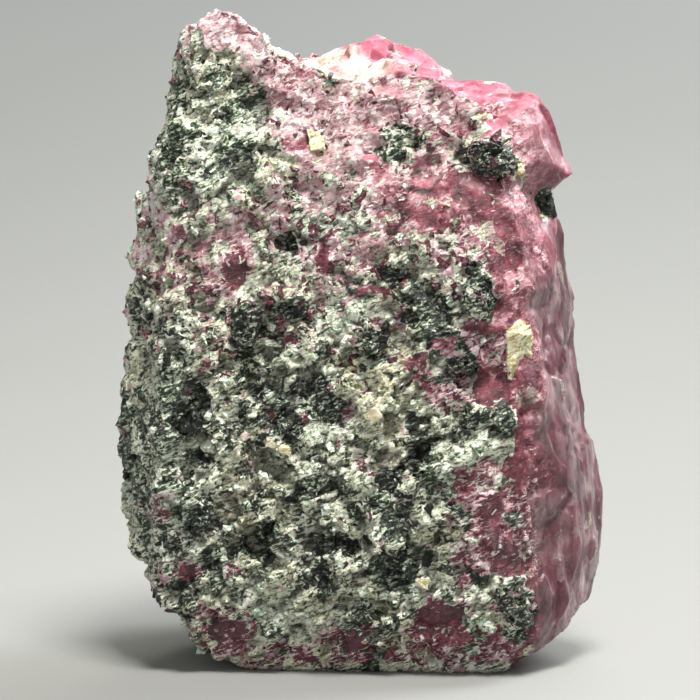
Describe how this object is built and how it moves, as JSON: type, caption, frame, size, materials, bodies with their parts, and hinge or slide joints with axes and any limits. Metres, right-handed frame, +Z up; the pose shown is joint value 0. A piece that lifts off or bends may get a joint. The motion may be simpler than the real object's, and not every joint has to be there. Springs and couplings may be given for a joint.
{
  "type": "sapphire crystal",
  "caption": "Stout pink sapphire crystal standing on its broken base, with a broken sloping top and a crust of dark green and white rock grains.",
  "frame": {"origin": "under the middle of the crystal, on the flat end that it rests on", "axes": "+Z up along the crystal's length, -Y towards the crusted front, +X towards the clean glossy side"},
  "size_m": [0.0172, 0.013, 0.0232],
  "materials": {
    "pink_corundum": "glossy rough crystal with a granular crust"
  },
  "bodies": {
    "root": {"sapphire_crystal": "pink_corundum"}
  },
  "joints": []
}
